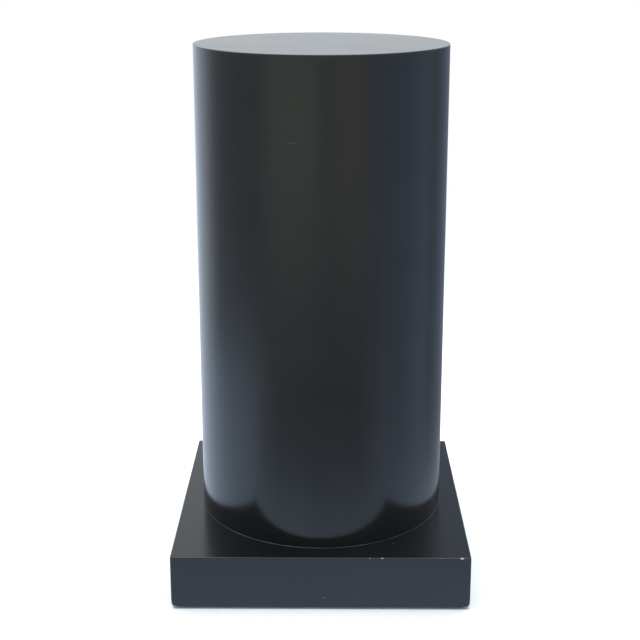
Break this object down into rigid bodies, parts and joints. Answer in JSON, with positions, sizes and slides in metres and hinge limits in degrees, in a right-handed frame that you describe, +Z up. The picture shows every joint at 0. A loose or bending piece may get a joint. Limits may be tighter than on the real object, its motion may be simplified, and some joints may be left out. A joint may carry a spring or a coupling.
{
  "type": "display plinth",
  "caption": "Round lacquered column standing on a low square base, with a flat top for an exhibit and levelling feet hidden under the base.",
  "frame": {"origin": "on the floor under the middle of the square base, level with the soles of the four retracted levelling feet", "axes": "+Z up along the column's axis, -Y out of the front face of the base, +X to the right seen from the front"},
  "size_m": [0.5, 0.5, 0.917],
  "materials": {
    "black_lacquer": "satin to semi-gloss black lacquer sprayed over primed medium-density fibreboard",
    "raw_board": "bare medium-density fibreboard",
    "bending_plywood": "bare bendy plywood, grain upright",
    "softwood": "planed softwood",
    "zinc_steel": "bright zinc-plated steel",
    "yellow_zinc_steel": "yellow zinc-plated steel",
    "black_nylon": "matt turned nylon",
    "lacquered_filler": "filler sanded to a fine cove and lacquered with the rest"
  },
  "bodies": {
    "root": {"base_top_board": "black_lacquer", "base_front_board": "black_lacquer", "base_rear_board": "black_lacquer", "base_left_board": "black_lacquer", "base_right_board": "black_lacquer", "cap_disc": "black_lacquer", "outer_skin": "black_lacquer", "foot_board": "raw_board", "lower_former": "raw_board", "upper_former": "raw_board", "top_former": "raw_board", "inner_skin": "bending_plywood", "corner_block_1": "softwood", "corner_block_2": "softwood", "corner_block_3": "softwood", "corner_block_4": "softwood", "stringer_1": "softwood", "stringer_2": "softwood", "stringer_3": "softwood", "stringer_4": "softwood", "stringer_5": "softwood", "stringer_6": "softwood", "stringer_7": "softwood", "stringer_8": "softwood", "rail_front": "softwood", "rail_rear": "softwood", "column_bolts": "zinc_steel", "bolt_washers": "zinc_steel", "column_tee_nuts": "zinc_steel", "leveller_tee_nuts": "zinc_steel", "rail_screws": "yellow_zinc_steel", "stringer_screws": "yellow_zinc_steel", "cap_screws": "yellow_zinc_steel", "joint_bead": "lacquered_filler"},
    "foot_pad_1": {"leveller_pad_1": "black_nylon"},
    "foot_pad_2": {"leveller_pad_2": "black_nylon"},
    "foot_pad_3": {"leveller_pad_3": "black_nylon"},
    "foot_pad_4": {"leveller_pad_4": "black_nylon"},
    "foot_screw_1": {"leveller_stud_1": "zinc_steel"},
    "foot_screw_2": {"leveller_stud_2": "zinc_steel"},
    "foot_screw_3": {"leveller_stud_3": "zinc_steel"},
    "foot_screw_4": {"leveller_stud_4": "zinc_steel"}
  },
  "joints": [
    {"name": "foot_travel_1", "type": "slide", "parent": "root", "child": "foot_pad_1", "axis": [0, 0, -1], "range_m": [0, 0.015]},
    {"name": "foot_turn_1", "type": "hinge", "parent": "foot_pad_1", "child": "foot_screw_1", "pos_m": [-0.202, -0.202, 0.003], "axis": [0, 0, -1], "range_deg": [0, 3600]},
    {"name": "foot_travel_2", "type": "slide", "parent": "root", "child": "foot_pad_2", "axis": [0, 0, -1], "range_m": [0, 0.015]},
    {"name": "foot_turn_2", "type": "hinge", "parent": "foot_pad_2", "child": "foot_screw_2", "pos_m": [0.202, -0.202, 0.003], "axis": [0, 0, -1], "range_deg": [0, 3600]},
    {"name": "foot_travel_3", "type": "slide", "parent": "root", "child": "foot_pad_3", "axis": [0, 0, -1], "range_m": [0, 0.015]},
    {"name": "foot_turn_3", "type": "hinge", "parent": "foot_pad_3", "child": "foot_screw_3", "pos_m": [0.202, 0.202, 0.003], "axis": [0, 0, -1], "range_deg": [0, 3600]},
    {"name": "foot_travel_4", "type": "slide", "parent": "root", "child": "foot_pad_4", "axis": [0, 0, -1], "range_m": [0, 0.015]},
    {"name": "foot_turn_4", "type": "hinge", "parent": "foot_pad_4", "child": "foot_screw_4", "pos_m": [-0.202, 0.202, 0.003], "axis": [0, 0, -1], "range_deg": [0, 3600]}
  ],
  "couplings": [
    {"joint": "foot_turn_1", "follows": "foot_travel_1", "rad_per_m": 4188.8},
    {"joint": "foot_turn_2", "follows": "foot_travel_2", "rad_per_m": 4188.8},
    {"joint": "foot_turn_3", "follows": "foot_travel_3", "rad_per_m": 4188.8},
    {"joint": "foot_turn_4", "follows": "foot_travel_4", "rad_per_m": 4188.8}
  ]
}
